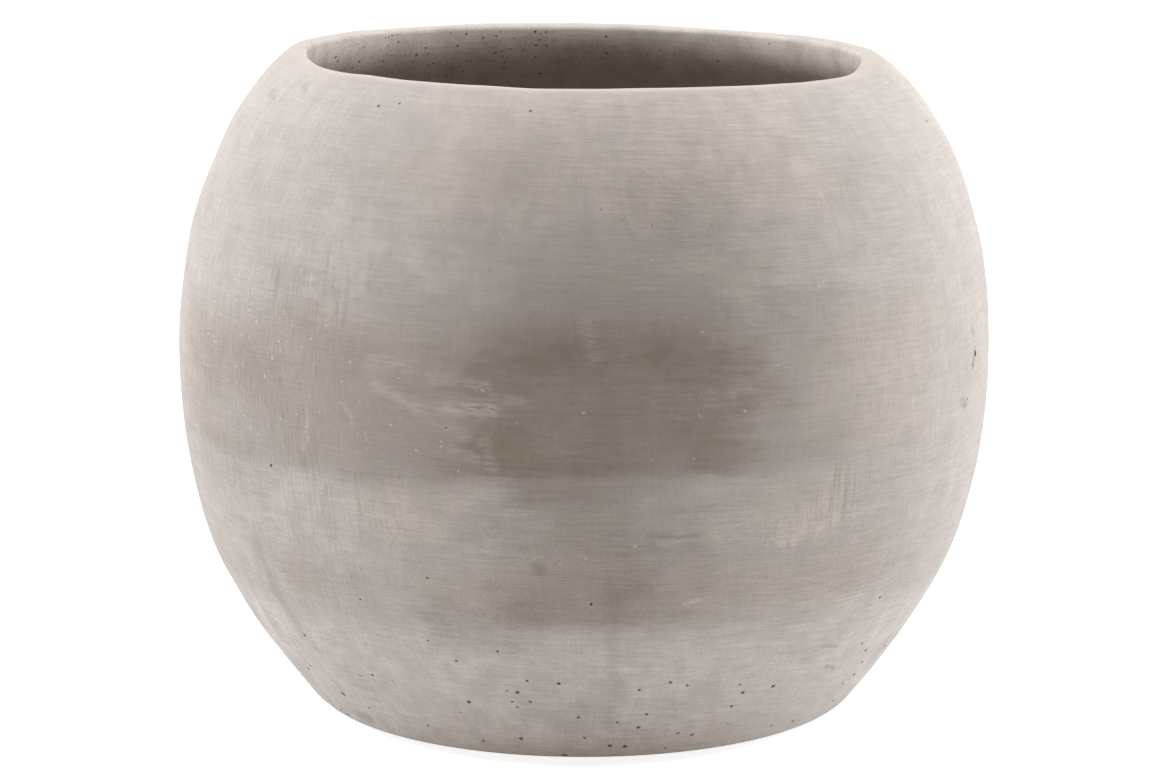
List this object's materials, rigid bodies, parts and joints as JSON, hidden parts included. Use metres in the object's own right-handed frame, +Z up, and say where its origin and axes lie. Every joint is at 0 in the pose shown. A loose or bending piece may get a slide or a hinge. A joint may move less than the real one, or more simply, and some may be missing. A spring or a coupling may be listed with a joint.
{
  "type": "bowl planter",
  "caption": "Round globe-shaped floor planter in hand-finished fibre cement, open at the top, with a rubber plug in its drain hole and pads under its base.",
  "frame": {"origin": "centre of the floor contact, under the middle of the base", "axes": "+Z up through the middle of the mouth; the bowl is round about Z, and -Y is the side that faces the viewer"},
  "size_m": [0.46, 0.46, 0.375],
  "materials": {
    "concrete": "matte",
    "plug_rubber": "satin",
    "pad_rubber": "matte"
  },
  "bodies": {
    "planter": {"bowl": "concrete", "foot_pad_1": "pad_rubber", "foot_pad_2": "pad_rubber", "foot_pad_3": "pad_rubber", "foot_pad_4": "pad_rubber"},
    "plug": {"drain_plug": "plug_rubber"}
  },
  "joints": [
    {"name": "plug_pull", "type": "slide", "parent": "planter", "child": "plug", "axis": [0, 0, 1], "range_m": [0, 0.4]}
  ]
}
